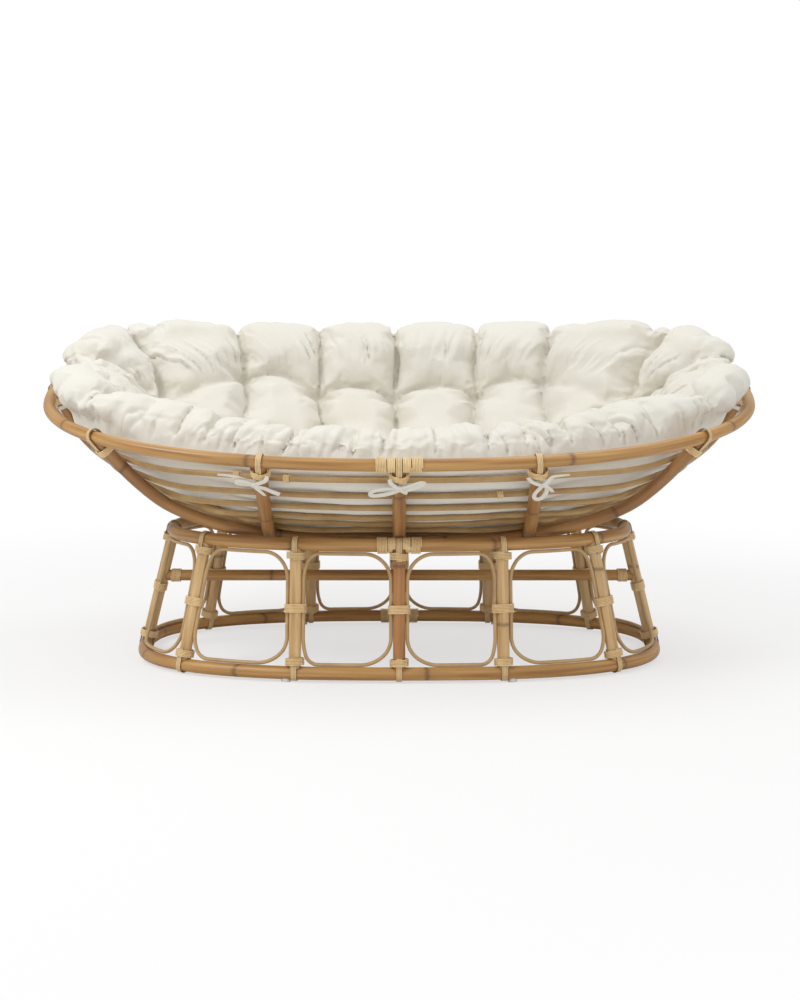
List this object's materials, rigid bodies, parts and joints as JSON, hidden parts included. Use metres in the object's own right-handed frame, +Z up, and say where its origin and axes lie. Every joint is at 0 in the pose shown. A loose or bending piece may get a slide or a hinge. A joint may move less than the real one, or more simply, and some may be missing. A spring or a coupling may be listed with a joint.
{
  "type": "double papasan chair",
  "caption": "Wide oval bowl seat of bent rattan poles, lined by a thick tufted cushion, resting tipped in a flared oval drum stand with looped panels.",
  "frame": {"origin": "on the floor, under the middle of the overall box", "axes": "+X along the length of the seat, to the right in the picture; +Y to the back; +Z up"},
  "size_m": [1.6068, 0.9681, 0.7502],
  "materials": {
    "rattan_pole": "glossy honey-brown varnish over rattan pole with dark node rings",
    "dark_pole": "glossy red-brown varnish over rattan pole",
    "thin_cane": "satin tan rattan core",
    "cane_binding": "pale split cane, satin",
    "glide": "matt pale plastic",
    "cotton_tape": "woven off-white cotton tape",
    "cushion_cotton": "off-white woven cotton with tufts and gathered folds"
  },
  "bodies": {
    "stand": {"bottom_ring": "rattan_pole", "top_ring": "rattan_pole", "post_right_end": "rattan_pole", "post_back_right_corner": "rattan_pole", "post_back_right": "rattan_pole", "post_back_centre": "rattan_pole", "post_back_left": "rattan_pole", "post_back_left_corner": "rattan_pole", "post_left_end": "rattan_pole", "post_front_left_corner": "rattan_pole", "post_front_left": "rattan_pole", "post_front_centre": "rattan_pole", "post_front_right": "rattan_pole", "post_front_right_corner": "rattan_pole", "loop_back_right_end": "thin_cane", "loop_back_right_outer": "thin_cane", "loop_back_right_inner": "thin_cane", "loop_back_left_inner": "thin_cane", "loop_back_left_outer": "thin_cane", "loop_back_left_end": "thin_cane", "loop_front_left_end": "thin_cane", "loop_front_left_outer": "thin_cane", "loop_front_left_inner": "thin_cane", "loop_front_right_inner": "thin_cane", "loop_front_right_outer": "thin_cane", "loop_front_right_end": "thin_cane", "stretcher": "rattan_pole", "post_top_bindings": "cane_binding", "post_bottom_bindings": "cane_binding", "post_middle_bindings": "cane_binding", "stretcher_bindings": "cane_binding", "top_ring_splice": "cane_binding", "bottom_ring_splice": "cane_binding", "floor_glides": "glide"},
    "bowl": {"rim": "rattan_pole", "cross_bow_left": "dark_pole", "cross_bow_centre": "dark_pole", "cross_bow_right": "dark_pole", "long_bow_front": "dark_pole", "long_bow_middle": "dark_pole", "long_bow_back": "dark_pole", "hoop_1": "thin_cane", "hoop_2": "thin_cane", "hoop_3": "thin_cane", "hoop_4": "thin_cane", "hoop_5": "thin_cane", "hoop_6": "thin_cane", "hoop_7": "thin_cane", "hoop_8": "thin_cane", "rim_bindings": "cane_binding", "rim_splice": "cane_binding", "hoop_splices": "cane_binding", "front_ties": "cotton_tape", "back_ties": "cotton_tape", "end_ties": "cotton_tape", "cushion": "cushion_cotton"}
  },
  "joints": [
    {"name": "bowl_tilt", "type": "hinge", "parent": "stand", "child": "bowl", "pos_m": [0, -0.04055, 0.75791], "axis": [1, 0, 0], "range_deg": [-13.3, 12]}
  ]
}
